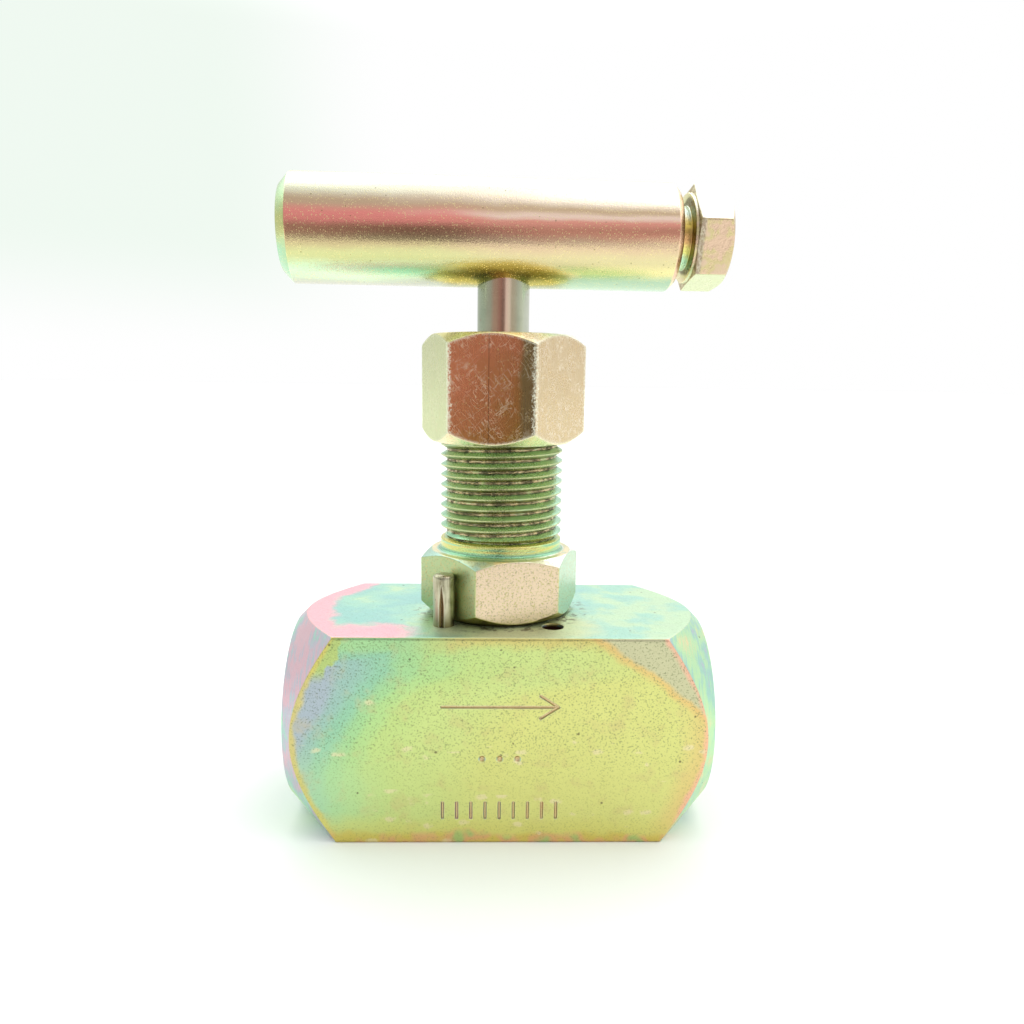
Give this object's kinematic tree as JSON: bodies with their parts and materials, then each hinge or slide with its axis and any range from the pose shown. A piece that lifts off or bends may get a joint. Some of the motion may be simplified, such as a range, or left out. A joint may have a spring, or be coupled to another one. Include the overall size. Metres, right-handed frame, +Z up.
{
  "type": "needle valve",
  "caption": "Bar-stock needle valve with female pipe-thread ports, pinned screwed bonnet, packing nut and a T-bar handle clamped on its stem.",
  "frame": {"origin": "centre of the body's bottom face, on the stem axis", "axes": "+Z up along the stem towards the handle, +X along the flow towards the outlet port, +Y towards the body's back face"},
  "size_m": [0.0667, 0.0318, 0.0979],
  "materials": {
    "zinc_body": "yellow chromated zinc plate, iridescent, pitted",
    "zinc_bonnet": "yellow chromated zinc plate, machined",
    "zinc_nut": "yellow chromated zinc plate, drawn hexagon bar",
    "zinc_bar": "yellow chromated zinc plate, drawn round bar",
    "zinc_bolt": "yellow chromated zinc plate, rolled and forged",
    "bare_steel_stem": "ground bare steel",
    "bare_steel_pin": "bare steel",
    "hardened_steel": "hardened and ground steel",
    "gasket_iron": "soft iron",
    "packing_steel": "turned steel",
    "ptfe": "PTFE"
  },
  "bodies": {
    "valve": {"body": "zinc_body", "bonnet": "zinc_bonnet", "bonnet_gasket": "gasket_iron", "lock_pin": "bare_steel_pin", "packing_base_washer": "packing_steel", "packing_bottom_adapter": "packing_steel", "packing_v_ring_1": "ptfe", "packing_v_ring_2": "ptfe", "packing_v_ring_3": "ptfe", "packing_v_ring_4": "ptfe", "packing_top_adapter": "packing_steel"},
    "needle": {"needle_tip": "hardened_steel", "needle_retaining_ring": "hardened_steel", "thrust_ball": "hardened_steel"},
    "stem_and_handle": {"stem": "bare_steel_stem", "handle_bar": "zinc_bar", "handle_set_bolt": "zinc_bolt"},
    "gland": {"gland_follower": "packing_steel", "gland_thrust_washer": "packing_steel"},
    "packing_nut": {"packing_nut": "zinc_nut"}
  },
  "joints": [
    {"name": "stem_turn", "type": "hinge", "parent": "needle", "child": "stem_and_handle", "pos_m": [0, 0, 0.035], "axis": [0, 0, 1], "range_deg": [0, 1620]},
    {"name": "needle_lift", "type": "slide", "parent": "valve", "child": "needle", "axis": [0, 0, 1], "range_m": [0, 0.00571]},
    {"name": "nut_turn", "type": "hinge", "parent": "gland", "child": "packing_nut", "pos_m": [0, 0, 0.0665], "axis": [0, 0, 1], "range_deg": [0, 720]},
    {"name": "gland_lift", "type": "slide", "parent": "valve", "child": "gland", "axis": [0, 0, 1], "range_m": [0, 0.00317]}
  ],
  "couplings": [
    {"joint": "needle_lift", "follows": "stem_turn", "m_per_rad": 0.0002021},
    {"joint": "gland_lift", "follows": "nut_turn", "m_per_rad": 0.00025265}
  ]
}
